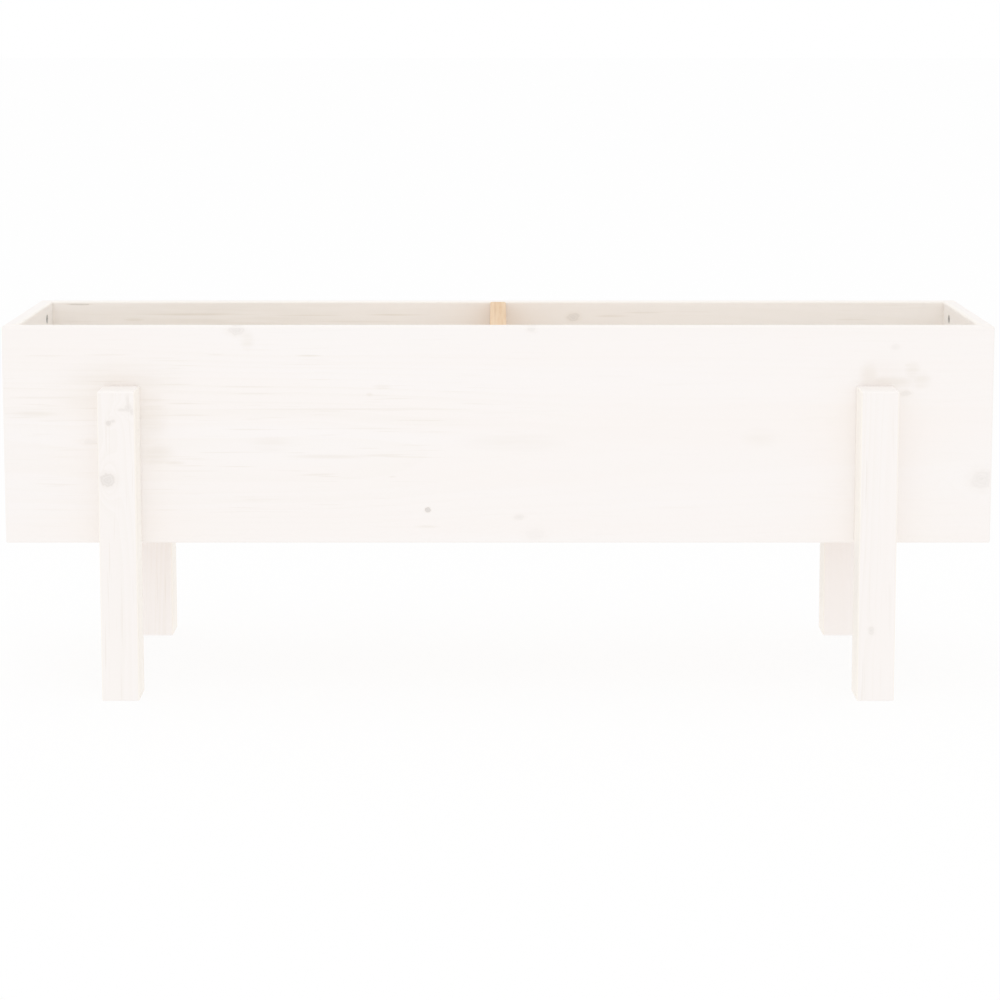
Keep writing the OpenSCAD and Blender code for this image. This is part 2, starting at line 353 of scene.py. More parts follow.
# %% [markdown]
# ### Knots
#
# A knot is the foot of a branch. It shows as a dark core with rings of its own, inside a darker ring of
# bark. It stains the wood beside it, and pushes the growth rings aside, so that the grain flows round it. The
# group draws one egg shape in the wood and reads four masks from the distance to its middle, in shares of the
# knot's reach, so that its rim is at 1. The masks of the knots before it come in and go out again with this
# one added, and a loop can chain as many knots as a board has. Noise is slow, so the noise that makes the
# outlines ragged is made once for a board and handed to all its knots.

# %% Knot group
KNOT_MASKS = ("Bulge", "Core", "Bark", "Stain")
RAGGED_CELLS = (160, 260, 260)
RAGGED = (0.2, 0.8, -0.25, 0.25)
KNOT_RINGS = 2.5
RING_CONTRAST = 0.2
HEART = (0.6, 0.1, 0.6, 0.9)
CORE_RIM = (1.0, 0.8)
BARK_WIDTH = 0.26
STAIN_RIM = (2.2, 0.9)
FLOW_STRETCH = 0.4
FLOW_FALL = -0.4
BULGE_SHARE = 1.5

takes = dict.fromkeys(("Place", "Middle", "Reach"), ORIGIN)
takes.update(Strength=1.0, Ragged=0.0, **dict.fromkeys(KNOT_MASKS, 0.0))
KNOT, given, result = new_group("knot", takes, KNOT_MASKS)

offset = vectors(KNOT, "SUBTRACT", given["Place"], given["Middle"])
offset = vectors(KNOT, "DIVIDE", offset, given["Reach"])
far = maths(KNOT, "ADD", vectors(KNOT, "LENGTH", offset), given["Ragged"])
off_rim = maths(KNOT, "ABSOLUTE", maths(KNOT, "SUBTRACT", far, 1.0))
rings = maths(KNOT, "SINE", maths(KNOT, "MULTIPLY", far, KNOT_RINGS * math.tau))
wood = maths(KNOT, "MULTIPLY_ADD", rings, RING_CONTRAST, ramp(KNOT, far, *HEART))
wood = maths(KNOT, "MULTIPLY", wood, given["Strength"])
faint = maths(KNOT, "MULTIPLY", given["Strength"], given["Strength"])
own = {
    "Core": maths(KNOT, "MULTIPLY", wood, ramp(KNOT, far, *CORE_RIM)),
    "Bark": ramp(KNOT, off_rim, BARK_WIDTH, 0.0, 0.0, faint),
    "Stain": ramp(KNOT, far, *STAIN_RIM, 0.0, given["Strength"]),
}
for mask, value in own.items():
    KNOT.links.new(maths(KNOT, "MAXIMUM", given[mask], value), result[mask])

flow = vectors(KNOT, "LENGTH", vectors(KNOT, "MULTIPLY", offset, (FLOW_STRETCH, 1, 1)))
fade = maths(KNOT, "EXPONENT", maths(KNOT, "MULTIPLY", maths(KNOT, "POWER", flow, 2.0), FLOW_FALL))
pushed = maths(KNOT, "MULTIPLY", fade, apart(KNOT, given["Reach"])["Y"])
KNOT.links.new(maths(KNOT, "MULTIPLY_ADD", pushed, BULGE_SHARE, given["Bulge"]), result["Bulge"])
print("knot group:", len(KNOT.nodes), "nodes")

# %% Chaining marks
# The height of a mark's middle over its piece's middle, and half its depth, in mm
THROUGH = (0, 40)
IN_LEG = (18, 12)


def chain(tree, kind, place, marks, depths, masks, **shared):
    """Chains marks. Each is: along, across, half length and half width, all in mm, and a strength."""
    depth, half_deep = depths
    for along, across, half_long, half_wide, strength in marks:
        middle = Vector((along, across, depth)) * MM
        reach = Vector((half_long, half_wide, half_deep)) * MM
        inputs = {"Place": place, "Middle": middle, "Reach": reach, "Strength": strength}
        outputs = group(tree, kind, {**inputs, **shared, **masks})
        masks = {mask: outputs[mask] for mask in masks}
    return masks


def add_knots(tree, piece, place, knots):
    """The masks of a piece's knots. Those of a board go through it, and those of a leg end inside it."""
    depths = IN_LEG if piece.endswith("_leg") else THROUGH
    ragged = ramp(tree, noise(tree, place, RAGGED_CELLS), *RAGGED) if knots else 0.0
    return chain(tree, KNOT, place, knots, depths, dict.fromkeys(KNOT_MASKS, 0.0), Ragged=ragged)


print("masks that a knot adds to:", KNOT_MASKS)

# %% [markdown]
# ### Streaks
#
# Some of the grain shows through the paint as single dark lines and soft brown patches, where resin or a root
# of a knot lies just under the face. Soft patches of the same kind are also painted shade, round the tops of
# the front legs. A streak is an egg shape too, far longer than it is wide, and broken up by noise that is
# stretched along the grain, which is again made once for all the streaks of a board.

# %% Streak group
STREAK_RIM = (1.0, 0.2)
BROKEN_CELLS = (12, 220, 220)
BROKEN = (0.3, 0.6, 0.35, 1.0)

takes = dict.fromkeys(("Place", "Middle", "Reach"), ORIGIN)
takes.update(Strength=1.0, Broken=1.0, Streak=0.0)
STREAK, given, result = new_group("streak", takes, ("Streak",))

offset = vectors(STREAK, "SUBTRACT", given["Place"], given["Middle"])
far = vectors(STREAK, "LENGTH", vectors(STREAK, "DIVIDE", offset, given["Reach"]))
own = ramp(STREAK, far, *STREAK_RIM, 0.0, given["Strength"])
own = maths(STREAK, "MULTIPLY", own, given["Broken"])
STREAK.links.new(maths(STREAK, "MAXIMUM", given["Streak"], own), result["Streak"])


def add_streaks(tree, place, streaks):
    """The mask of a piece's streaks, which go through it."""
    broken = ramp(tree, noise(tree, place, BROKEN_CELLS, detail=3), *BROKEN) if streaks else 1.0
    return chain(tree, STREAK, place, streaks, THROUGH, {"Streak": 0.0}, Broken=broken)["Streak"]


print("streak group:", len(STREAK.nodes), "nodes")

# %% [markdown]
# ### Growth rings
#
# A tree adds a ring each year, pale wood in spring and a thin dark line of late wood after it, round a pith
# that wanders as the trunk grew. A sawn board is a straight cut through those cones. So the rings are drawn
# as distances to a wandering line that lies outside the board, and the cut makes the figure by itself: long
# lines and pointed arches on the faces, and arcs on the sawn ends.

# %% Pine group
RING_WIDTH = 4.2 * MM
PITH_WANDER = 24 * MM
WANDER_CELLS = (1.6, 8, 8)
MEAN_NOISE = (0.5, 0.5, 0.5)
TRUNK_TAPER = 0.012
UNEVEN_CELLS = 0.6
UNEVEN_RINGS = 1.6
LATE_GROWS = (0.25, 0.92)
LATE_ENDS = (1.0, 0.94)
HARSH = (0.0, 1.0, 0.35, 1.0)
TONE_CELLS = (1.5, 20, 20)
TONE = (0.35, 0.65)
FIBRE_CELLS = (14, 700, 700)

takes = {"Place": ORIGIN, "Pith": ORIGIN, "Bulge": 0.0, "Seed": 0.0}
PINE, given, result = new_group("pine", takes, ("Late Wood", "Tone", "Fibre"))

wander = noise(PINE, given["Place"], WANDER_CELLS, seed=given["Seed"], gives="Color")
wander = vectors(PINE, "SUBTRACT", wander, MEAN_NOISE)
wander = vectors(PINE, "MULTIPLY", wander, (0, PITH_WANDER, PITH_WANDER))
from_pith = vectors(PINE, "SUBTRACT", vectors(PINE, "ADD", given["Place"], wander), given["Pith"])
radius = vectors(PINE, "LENGTH", vectors(PINE, "MULTIPLY", from_pith, (0, 1, 1)))
radius = maths(PINE, "MULTIPLY_ADD", apart(PINE, given["Place"])["X"], TRUNK_TAPER, radius)
radius = maths(PINE, "ADD", radius, given["Bulge"])
rings = maths(PINE, "DIVIDE", radius, RING_WIDTH)
years = maths(PINE, "ADD", maths(PINE, "MULTIPLY", rings, UNEVEN_CELLS), given["Seed"])
uneven = node(PINE, "TexNoise", {"W": years, "Scale": 1.0}, noise_dimensions="1D").outputs["Fac"]
rings = maths(PINE, "MULTIPLY_ADD", uneven, UNEVEN_RINGS, rings)

season = maths(PINE, "FRACT", rings)
year = maths(PINE, "ADD", maths(PINE, "FLOOR", rings), given["Seed"])
harsh = node(PINE, "TexWhiteNoise", {"W": year}, noise_dimensions="1D").outputs["Value"]
late = maths(PINE, "MULTIPLY", ramp(PINE, season, *LATE_GROWS), ramp(PINE, season, *LATE_ENDS))
late = maths(PINE, "MULTIPLY", late, ramp(PINE, harsh, *HARSH))
tone = noise(PINE, given["Place"], TONE_CELLS, detail=3, seed=given["Seed"])
fibre = noise(PINE, given["Place"], FIBRE_CELLS, detail=3, seed=given["Seed"])
for mask, value in {"Late Wood": late, "Tone": ramp(PINE, tone, *TONE), "Fibre": fibre}.items():
    PINE.links.new(value, result[mask])
print("pine group:", len(PINE.nodes), "nodes")

# %% [markdown]
# ### Edges and ends
#
# Paint draws back from a sharp edge as it dries, and a sawn end drinks more of it than a face does. Both
# places are easy to find without any painting: on a straight piece of timber, the distance to the nearest
# edge is the middle one of the three distances to its faces, ends and sides.

# %% Arris group
WAVY_CELLS = (60, 160, 160)
WAVY = 3 * MM
EDGE_BAND = (4 * MM, 1.5 * MM)
END_BAND = (1.6 * MM, 0.6 * MM)

ARRIS, given, result = new_group("arris", {"Place": ORIGIN, "Half Size": ORIGIN}, ("Edge", "End"))

room = vectors(ARRIS, "SUBTRACT", given["Half Size"], vectors(ARRIS, "ABSOLUTE", given["Place"]))
x, y, z = apart(ARRIS, room)
lower, upper = maths(ARRIS, "MINIMUM", x, y), maths(ARRIS, "MAXIMUM", x, y)
middle = maths(ARRIS, "MAXIMUM", lower, maths(ARRIS, "MINIMUM", upper, z))
wavy = noise(ARRIS, given["Place"], WAVY_CELLS, detail=3)
middle = maths(ARRIS, "MULTIPLY_ADD", wavy, WAVY, middle)
ARRIS.links.new(ramp(ARRIS, middle, *EDGE_BAND), result["Edge"])
ARRIS.links.new(ramp(ARRIS, x, *END_BAND), result["End"])
print("arris group:", len(ARRIS.nodes), "nodes")

# %% [markdown]
# ### The masks of a piece
#
# Painted or bare, a piece of timber needs the same masks, so one function places the groups for both
# finishes. Planing leaves the hard late wood and the fibres a few hundredths of a millimetre proud. The bump
# takes that height as it is.

# %% Masks and relief
WOOD_IOR = 1.45


def wood_masks(tree, piece, grain, out, pith, knots, seed):
    """Places the groups for one piece. Returns the place in the wood, and every mask by its name."""
    place = along_grain(tree, piece, grain, out)
    masks = add_knots(tree, piece, place, knots)
    inputs = {"Place": place, "Pith": pith, "Bulge": masks["Bulge"], "Seed": seed}
    wood = group(tree, PINE, inputs)
    arris = group(tree, ARRIS, {"Place": place, "Half Size": half_size(piece, grain, out)})
    masks.update({socket.name: socket for socket in (*wood, *arris)})
    return place, masks


def relief(tree, masks, depth):
    """The height of late wood and of fibres, each up to depth."""
    height = maths(tree, "MULTIPLY", masks["Late Wood"], depth)
    return maths(tree, "MULTIPLY_ADD", masks["Fibre"], depth, height)


# %% [markdown]
# ## White paint on pine
#
# The paint is thin. The wood under it shows as a faint warm figure, the knots as grey spots with a yellow
# bloom round them, and the bare edge as a warm line. Each of these is a small step from the colour of the
# paint to a colour that was read off the planter, by a mask from one of the groups.
#
# The coat isn't even either. The grain shows where it is thin and fades where it is full. On the front board
# it is thin mostly on the left, and elsewhere that is left to chance. The faces inside the box and the sides
# of the legs look a little whiter than their place in the shade makes them, so painted light whitens their
# colour there. The height above the middle of a board tells its inner face from its outer one, and the
# distance across tells the sides of a leg from its face. Only the front board's face axes point out of the
# box.

# %% Paint finish
PAINT = shade(251, 247, 245)
PAINT_LATE = shade(249, 244, 240)
PAINT_TONE = shade(251, 246, 243)
# The colour of grain dashes and streaks, and of the painted shade round the tops of the front legs
PAINT_STREAK_AND_SHADE = shade(237, 230, 222)
PAINT_MARKS = {
    "Stain": shade(245, 239, 234),
    "Core": shade(222, 217, 213),
    "Bark": shade(224, 218, 213),
    "Edge": shade(251, 246, 242),
    # A touch lighter than the paint: painted light, which lifts the shaded tops of the legs and is given to
    # every sawn end
    "End": shade(252, 248, 245),
}
LEAST_GRAIN = 0.2
THIN_PLACES = {"front_board": [(-290, 4, 490, 125, 1.0)]}
THIN_RIM = (0.0, 0.8)
THIN_CELLS = (1.8, 14, 14)
THIN_PATCHES = (0.38, 0.62)
THIN_SEED = 5.0
DASH_CELLS = (14, 420, 420)
DASHES = (0.6, 0.74, 0.0, 0.4)
# Painted light: how much whiter the shaded inner faces and leg sides are made
PAINTED_LIGHT_GAIN = (1.036, 1.036, 1.0)
INNER_LIGHT_SHARE = 0.6
INNER_LIGHT_FROM = 2 / 3
LEG_SIDE_LIGHT_BAND = (1.5 * MM, 0.5 * MM)
PAINT_ROUGHNESS = (0.2, 0.8, 0.42, 0.62)
PAINT_RELIEF = 0.03 * MM
BARK_DIP = -0.12 * MM


def thin_coat(tree, piece, place, seed):
    """1 where the grain shows in full, down to LEAST_GRAIN where the coat hides it."""
    if piece in THIN_PLACES:
        return ramp(tree, add_streaks(tree, place, THIN_PLACES[piece]), *THIN_RIM, LEAST_GRAIN, 1.0)
    patches = noise(tree, place, THIN_CELLS, detail=2, seed=seed + THIN_SEED)
    return ramp(tree, patches, *THIN_PATCHES, LEAST_GRAIN, 1.0)


def painted_light_mask(tree, piece, place, half):
    """Over 0 where painted light whitens the shade: inner faces of boards and slats, and more a leg's sides.
    """
    parts = apart(tree, place)
    if piece.endswith("_leg"):
        limits = [half.y - band for band in LEG_SIDE_LIGHT_BAND]
        return ramp(tree, maths(tree, "ABSOLUTE", parts["Y"]), *limits)
    inwards = -1 if piece == "front_board" else 1
    return ramp(tree, parts["Z"], 0.0, inwards * half.z * INNER_LIGHT_FROM, 0.0, INNER_LIGHT_SHARE)


def painted_pine(piece, grain, out, pith, knots, streaks, seed):
    """White paint over the pine of one piece."""
    finish, tree = new_finish("paint_" + piece)
    place, masks = wood_masks(tree, piece, grain, out, pith, knots, seed)
    thin = thin_coat(tree, piece, place, seed)
    dashes = ramp(tree, noise(tree, place, DASH_CELLS, detail=1, seed=seed), *DASHES)
    colour = glaze(tree, PAINT, [
        (masks["Tone"], PAINT_TONE),
        (maths(tree, "MULTIPLY", masks["Late Wood"], thin), PAINT_LATE),
        (maths(tree, "MULTIPLY", dashes, thin), PAINT_STREAK_AND_SHADE),
        # Streaks are grain; on the front board some are painted shade round the tops of the legs
        (add_streaks(tree, place, streaks), PAINT_STREAK_AND_SHADE),
        *[(masks[name], shown) for name, shown in PAINT_MARKS.items()],
    ])
    # Painted light: the colour is whitened on the shaded inner faces and on the sides of the legs
    lightened = vectors(tree, "MULTIPLY", colour, PAINTED_LIGHT_GAIN)
    colour = tint(tree, painted_light_mask(tree, piece, place, half_size(piece, grain, out)), colour, lightened)

    roughness = ramp(tree, masks["Fibre"], *PAINT_ROUGHNESS)
    height = relief(tree, masks, PAINT_RELIEF)
    height = maths(tree, "MULTIPLY_ADD", masks["Bark"], BARK_DIP, height)
    surface(tree, colour, roughness, height, IOR=WOOD_IOR)
    return finish


print("paint, linear: %.3f %.3f %.3f" % PAINT[:3])

# %% [markdown]
# ## Bare pine
#
# The brace and the battens under the floor are left bare. The same groups drive their finish, with far more
# contrast than under paint: straw spring wood, tan late wood, red-brown knots, and darker ends, where the
# open pores swallow the light.

# %% Bare finish
SPRING = shade(241, 214, 181)
SPRING_WARM = shade(235, 203, 166)
LATE = shade(214, 172, 127)
BARE_KNOT = {
    "Stain": shade(219, 170, 118),
    "Core": shade(165, 112, 72),
    "Bark": shade(98, 60, 38),
}
SAWN_END = shade(214, 178, 138)
LATE_SHARE = 0.6
END_SHARE = 0.6
DARK_FIBRES = (0.5, 0.75, 0.0, 0.25)
BARE_ROUGHNESS = (0.2, 0.8, 0.5, 0.75)
BARE_RELIEF = 0.05 * MM


def bare_pine(piece, grain, out, pith, knots, streaks, seed):
    """Planed pine without any finish."""
    finish, tree = new_finish("pine_" + piece)
    place, masks = wood_masks(tree, piece, grain, out, pith, knots, seed)
    colour = glaze(tree, SPRING, [
        (masks["Tone"], SPRING_WARM),
        (maths(tree, "MULTIPLY", masks["Late Wood"], LATE_SHARE), LATE),
        (add_streaks(tree, place, streaks), LATE),
        (ramp(tree, masks["Fibre"], *DARK_FIBRES), LATE),
        *[(masks[name], shown) for name, shown in BARE_KNOT.items()],
        (maths(tree, "MULTIPLY", masks["End"], END_SHARE), SAWN_END),
    ])
    roughness = ramp(tree, masks["Fibre"], *BARE_ROUGHNESS)
    surface(tree, colour, roughness, relief(tree, masks, BARE_RELIEF), IOR=WOOD_IOR)
    return finish


print("spring wood, linear: %.3f %.3f %.3f" % SPRING[:3])

# %% [markdown]
# ## Knots and streaks that show
#
# The front of the planter is known well: its knots and its darkest grain lines are listed here at the places
# where they lie. The front board's streaks also hold soft patches of painted shade round the tops of the
# front legs. Each row says how far along and across the mark is from the middle of its piece, then its half
# length and half width, all in mm, and its strength.
#
# A piece whose face isn't known gets a few knots by chance, from a seed of its own, so that they are the
# same on every run. They stay clear of the piece's edges.

# %% Marks of the pieces that are seen
KNOTS = {
    "front_board": [
        (-266, 108, 7.5, 4.5, 0.42), (34, 110.5, 4.5, 3.5, 0.36), (-72, -77.5, 2.3, 2.1, 1.2),
        (21.5, -85, 5, 2.6, 0.3), (38, -103, 10, 6, 0.14), (495, -46, 11, 9, 0.3),
        (404, 91, 4, 3, 0.2), (415, 43, 5, 2.6, 0.35), (-416, -7, 6, 3, 0.2),
    ],
    "back_board": [(83, 95, 6, 4, 0.6), (-461, 109, 9, 0.6, 1.0), (-140, -35, 9, 7, 0.6)],
    "front_left_leg": [
        (143, -12.5, 3.6, 3.6, 0.4), (150, -12, 5.5, 1.5, 0.3), (141, -6.5, 1.4, 4.6, 0.4),
        (139, -16.5, 3, 1.8, 0.45), (127.5, 7.4, 2.2, 2.4, 0.7), (129.5, 3.4, 1.4, 2.4, 0.45),
        (69.5, 9.2, 6, 6.6, 0.65),
    ],
    "front_right_leg": [(-85.5, 5.4, 3.6, 2.8, 0.4)],
    "back_left_leg": [(96, -7, 5, 4, 0.6), (-70, 9, 3, 2.6, 0.8)],
    "back_right_leg": [(22, 5, 6, 5, 0.5)],
}
STREAKS_AND_LEG_SHADE = {
    "front_board": [
        # Painted shade round the leg tops: the rows from (-385, 58) to (-332, -29) and from (394, 62) to
        # (418, 72). The other rows are grain.
        (-385, 58, 85, 24, 0.4), (-424, 39, 40, 20, 0.25), (-354, 18, 24, 44, 0.35),
        (-348, -21, 24, 18, 0.45), (-332, -29, 16, 4, 0.45), (-456, 39, 52, 1.8, 0.65),
        (-475, 22, 34, 4, 0.45), (-325, 33, 26, 1.4, 0.5), (-150, 27, 170, 1.4, 0.4),
        (-192, 82, 18, 1.4, 0.7), (-254, 50, 44, 1.2, 0.35), (-249, 43, 32, 1.2, 0.35),
        (-460, 82, 26, 1.5, 0.4), (-397, 83, 34, 1.5, 0.3), (-287, 83, 12, 1.5, 0.4),
        (-131, 42, 5, 3, 0.5), (-118, 50, 13, 4, 0.3), (-258, 6, 28, 1.3, 0.4),
        (-120, 7, 70, 1.2, 0.3), (-108, -43, 6, 1.5, 0.5), (-73, -95, 16, 2.5, 0.4),
        (-172, -22, 58, 3.5, 0.4), (-232, -9, 32, 11, 0.3), (-315, -37, 54, 1.4, 0.25),
        (14, -7, 70, 13, 0.25), (268, -2, 27, 14, 0.22), (394, 62, 42, 28, 0.15),
        (378, 60, 15, 24, 0.5), (396, 55, 42, 9, 0.6), (422, 66, 12, 14, 0.45),
        (431, 57, 14, 13, 0.45), (418, 72, 7, 3, 0.4), (-255, 97, 10, 13, 0.5),
    ],
    "back_board": [
        (-310, 99, 230, 26, 0.35), (-290, 91, 180, 11, 0.5), (-325, 98, 110, 2.2, 1.0),
        (-400, 92, 20, 3, 0.7), (-215, 97, 70, 1.5, 0.7), (-112, 97.5, 46, 1.6, 0.9),
        (-170, 90, 90, 2, 0.5), (126, 96, 26, 1.8, 0.9), (160, 100, 30, 1.5, 0.5),
    ],
    "front_left_leg": [(-68, -2.9, 56, 1.0, 0.8)],
    "centre_brace": [(20, 3.1, 150, 1.6, 1.0), (0, -5, 160, 5, 0.5)],
}
print("marks placed by hand:", sum(len(marks) for marks in (*KNOTS.values(), *STREAKS_AND_LEG_SHADE.values())))

# %% Knots by chance
CHANCE_ALONG = 0.9
CHANCE_ACROSS = 0.75
CHANCE_REACH = (1.5, 8)
CHANCE_SHARE = 0.25
CHANCE_LONGER = (1, 1.8)
CHANCE_STRENGTH = (0.45, 0.9)


def chance_knots(piece, grain, out, count, seed):
    """Knots at places that only chance decides, no wider than a share of the piece."""
    chance = random.Random(seed)
    length, width = (half_size(piece, grain, out) / MM).xy
    least, most = CHANCE_REACH
    knots = []
    for _ in range(count):
        along = chance.uniform(-CHANCE_ALONG, CHANCE_ALONG) * length
        across = chance.uniform(-CHANCE_ACROSS, CHANCE_ACROSS) * width
        half_wide = chance.uniform(least, min(most, width * CHANCE_SHARE))
        half_long = half_wide * chance.uniform(*CHANCE_LONGER)
        strength = chance.uniform(*CHANCE_STRENGTH)
        knots.append((along, across, half_long, half_wide, strength))
    return knots


print("one by chance: %.1f %.1f %.1f %.1f %.2f" % chance_knots("floor_slat_1", Y, Z, 1, 0)[0])

# %% [markdown]
# ## Dressing the timber
#
# The timber keeps its shapes, which are right already. Each piece only gets a finish of its own in its
# material slot, so that no two boards show the same figure. A table says which way its grain and its face
# point. The pith lies behind the face on most boards, as it does in boards that are sawn side by side.

# %% A finish for each board, leg, batten and slat
UP, LEFT, RIGHT, FRONT, BACK = Z, -X, X, -Y, Y
# Each piece: finish, grain, the way out of its face, pith in metres, and how many knots by chance
TIMBER = {
    "front_board": (painted_pine, X, FRONT, (0, -0.02, -0.11), 0),
    "back_board": (painted_pine, X, FRONT, (0, 0.05, 0.12), 2),
    "left_end_board": (painted_pine, Y, RIGHT, (0, 0.03, -0.08), 3),
    "right_end_board": (painted_pine, Y, LEFT, (0, -0.02, -0.09), 2),
    "front_left_leg": (painted_pine, UP, FRONT, (0, 0.03, -0.06), 0),
    "front_right_leg": (painted_pine, UP, FRONT, (0, -0.05, -0.05), 0),
    "back_left_leg": (painted_pine, UP, BACK, (0, 0.04, -0.05), 0),
    "back_right_leg": (painted_pine, UP, BACK, (0, -0.03, -0.07), 0),
    "centre_brace": (bare_pine, Y, UP, (0, 0.025, -0.05), 0),
    "front_floor_batten": (bare_pine, X, BACK, (0, 0.04, -0.04), 4),
    "back_floor_batten": (bare_pine, X, FRONT, (0, -0.03, -0.05), 4),
}
SLAT_PITH_ACROSS = (-0.05, 0.05)
SLAT_PITH_OUT = (-0.09, -0.03)
SLAT_KNOTS = 2
SEED_STEP = 3.7

SLATS = sorted(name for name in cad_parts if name.startswith("floor_slat_"))
for number, slat in enumerate(SLATS):
    across = random.Random(slat).uniform(*SLAT_PITH_ACROSS)
    below = random.Random(number).uniform(*SLAT_PITH_OUT)
    TIMBER[slat] = (painted_pine, Y, UP, (0, across, below), SLAT_KNOTS)

for seed, (piece, (finish, grain, out, pith, count)) in enumerate(TIMBER.items()):
    knots = KNOTS.get(piece, []) + chance_knots(piece, grain, out, count, seed)
    material = finish(piece, grain, out, pith, knots, STREAKS_AND_LEG_SHADE.get(piece, ()), seed * SEED_STEP)
    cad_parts[piece].material_slots[0].material = material
print("timber pieces dressed:", len(TIMBER))

# %% [markdown]
# ## The fasteners
#
# The screws, cam bolts and dowels arrive as plain solids of the right size, because their threads and flutes
# are a matter of looks. They are modelled again here, each kind once, and copied to every place.
#
# Where those places are is read from the solids that they replace. A piece with twenty screws is one mesh,
# so its parts are told apart first: from any vertex, the edges lead to all the vertices of the same screw
# and to no other. That needs a copy of the mesh in which the vertices that lie on each other are merged.

# %% Finding each solid
MERGE_WITHIN = 0.001 * MM


def solids(piece):
    """The lowest and highest corner of each separate solid in a piece, in a steady order."""
    shape = bmesh.new()
    shape.from_mesh(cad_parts[piece].data)
    bmesh.ops.remove_doubles(shape, verts=shape.verts, dist=MERGE_WITHIN)
    boxes, left = [], set(shape.verts)
    while left:
        found = [left.pop()]
        for vert in found:
            near = {edge.other_vert(vert) for edge in vert.link_edges} & left
            left -= near
            found.extend(near)
        corners = [[choose(vert.co[axis] for vert in found) for axis in range(3)] for choose in (min, max)]
        boxes.append(tuple(Vector(corner) for corner in corners))
    shape.free()
    return sorted(boxes, key=lambda box: tuple(round(side / MM) for side in box[0]))


def solid_sides(piece):
    """The sides of one of a piece's solids along X, Y and Z, in mm. The others are its like."""
    low, high = solids(piece)[0]
    return [side / MM for side in high - low]


def outward(middle):
    """The way that a fastener in a side of the box points."""
    return Y if middle.y > 0 else -Y


def downward(middle):
    """The way that a fastener in the floor points, wherever it is."""
    return -Z


def stands(piece, way, chance):
    """For each solid: the move that takes a fastener from the origin, pointing down, to its place."""
    moves = []
    for low, high in solids(piece):
        middle = (low + high) / 2
        points = way(middle)
        top = middle - points * abs((high - low).dot(points)) / 2
        turn = Z.rotation_difference(-points).to_matrix().to_4x4()
        spun = Matrix.Rotation(chance.uniform(0, math.tau), 4, "Z")
        moves.append(Matrix.Translation(top) @ turn @ spun)
    return moves


print("screws in the legs:", len(solids("leg_screws")))

# %% [markdown]
# ### Turned shapes
#
# A screw, a bolt and a dowel are all turned, so each starts as half an outline that is spun round the Z
# axis, head up. With 24 steps, one step is 15 degrees. The spin leaves many vertices at each pole, which are
# merged, and may leave the faces inside out, which is put right when the whole fastener is there.

# %% Turning a profile
STEPS = 24


def turned(profile, steps=STEPS):
    """A closed shape: the half outline, in (radius, height) in mm, spun round Z."""
    shape = bmesh.new()
    verts = [shape.verts.new((radius * MM, 0, height * MM)) for radius, height in profile]
    edges = [shape.edges.new(pair) for pair in zip(verts, verts[1:])]
    spin = {"cent": (0, 0, 0), "axis": Z, "angle": math.tau, "steps": steps, "use_merge": True}
    bmesh.ops.spin(shape, geom=verts + edges, **spin)
    bmesh.ops.remove_doubles(shape, verts=shape.verts, dist=MERGE_WITHIN)
    return shape


def polar(vert):
    """The distance of a vertex from the Z axis, and its angle round it."""
    return vert.co.xy.length, math.atan2(vert.co.y, vert.co.x)


print("steps round a fastener:", STEPS)

# %% [markdown]
# ### The cross recess
#
# The cross in a screw's head is pressed in by a punch. Here the head is turned with a round hollow, and the
# rings of the hollow are squeezed into a cross: a vertex near one of the four arms goes out to the arm's
# end, and one between two arms comes in to the corner between them. An arm that is as wide as
# tan(15 degrees) says has a vertex at each of its corners, so the cross is crisp with no more faces.

# %% Squeezing a hollow into a cross
QUARTER = math.tau / 4
ARM_WIDTH = math.tan(math.tau / STEPS)
HOLLOW_FLOOR = 0.35
HOLLOW_SIDE = 0.85
HAIR = 0.01
NEARLY_ZERO = 0.001


def hollow(reach, deep):
    """The profile of a round hollow in a head, from its middle to its rim."""
    return [(0, -deep), (reach * HOLLOW_FLOOR, -deep * HOLLOW_SIDE), (reach, 0)]


def press_cross(shape, reach, deep):
    """Turns the round hollow, which is this wide and deep in mm, into a cross."""
    for vert in shape.verts:
        radius, angle = polar(vert)
        if radius > (reach + HAIR) * MM or vert.co.z < -(deep + HAIR) * MM:
            continue
        off_arm = abs((angle + QUARTER / 2) % QUARTER - QUARTER / 2)
        vert.co.xy *= min(1 / math.cos(off_arm), ARM_WIDTH / max(math.sin(off_arm), NEARLY_ZERO))


print("arm width by reach:", round(ARM_WIDTH, 3))

# %% [markdown]
# ### The thread
#
# A thread is a V-shaped ridge that climbs as it goes round. Spin can do that as well: with `dvec` each step
# also moves along the axis. The ridge is a closed tube of three sides, a little sunk into the core, with a
# face over each end. It is right-handed, so it goes down as it turns clockwise, seen from the head.
#
# A ridge of one height looks cut off. So it fades in over the first turn, and round the point of a wood
# screw it is drawn in with the cone that it runs on.

# %% Winding a thread
RIDGE_SHARE = 0.32
SUNK = 0.12
LEAST_SHARE = 0.02


